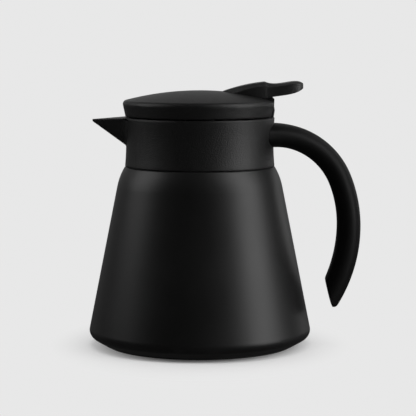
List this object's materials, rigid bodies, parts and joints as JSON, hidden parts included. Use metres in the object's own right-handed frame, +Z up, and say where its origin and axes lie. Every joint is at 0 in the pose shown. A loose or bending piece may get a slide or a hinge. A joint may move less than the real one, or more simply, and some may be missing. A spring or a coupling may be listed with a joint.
{
  "type": "thermal carafe",
  "caption": "Conical insulated carafe with a vacuum steel flask, V spout, open curved handle and a lever-opened domed lid on a lift-out stopper.",
  "frame": {"origin": "centre of the flat foot, on the surface it stands on", "axes": "+X from the spout towards the handle, +Y to the side, +Z up"},
  "size_m": [0.171, 0.1396, 0.1659],
  "materials": {
    "body_paint": "satin",
    "steel": "satin",
    "solder_glass": "glossy",
    "silicone": "matte",
    "grained_plastic": "fine grain",
    "smooth_plastic": "satin"
  },
  "bodies": {
    "vessel": {"outer_shell": "body_paint", "inner_flask": "steel", "bottom_plate": "steel", "getter": "steel", "vacuum_seal": "solder_glass", "base_pad": "silicone", "collar": "grained_plastic", "neck_gasket": "silicone", "handle": "smooth_plastic", "handle_screws": "steel"},
    "stopper": {"stopper_body": "grained_plastic", "stopper_plug": "grained_plastic", "stopper_gasket": "silicone", "hinge_pin": "steel", "hinge_spring": "steel"},
    "lid": {"lid_cover": "grained_plastic", "lid_liner": "grained_plastic", "lid_seal": "silicone", "liner_screws": "steel", "thumb_lever": "smooth_plastic", "lever_screws": "steel"}
  },
  "joints": [
    {"name": "stopper_lift", "type": "slide", "parent": "vessel", "child": "stopper", "axis": [0, 0, 1], "range_m": [0, 0.04]},
    {"name": "lid_hinge", "type": "hinge", "parent": "stopper", "child": "lid", "pos_m": [0.043, 0, 0.1495], "axis": [0, 1, 0], "range_deg": [0, 50], "stiffness_Nm_per_rad": 0.05, "springref_deg": -28.65, "deforming": ["hinge_spring"]}
  ]
}
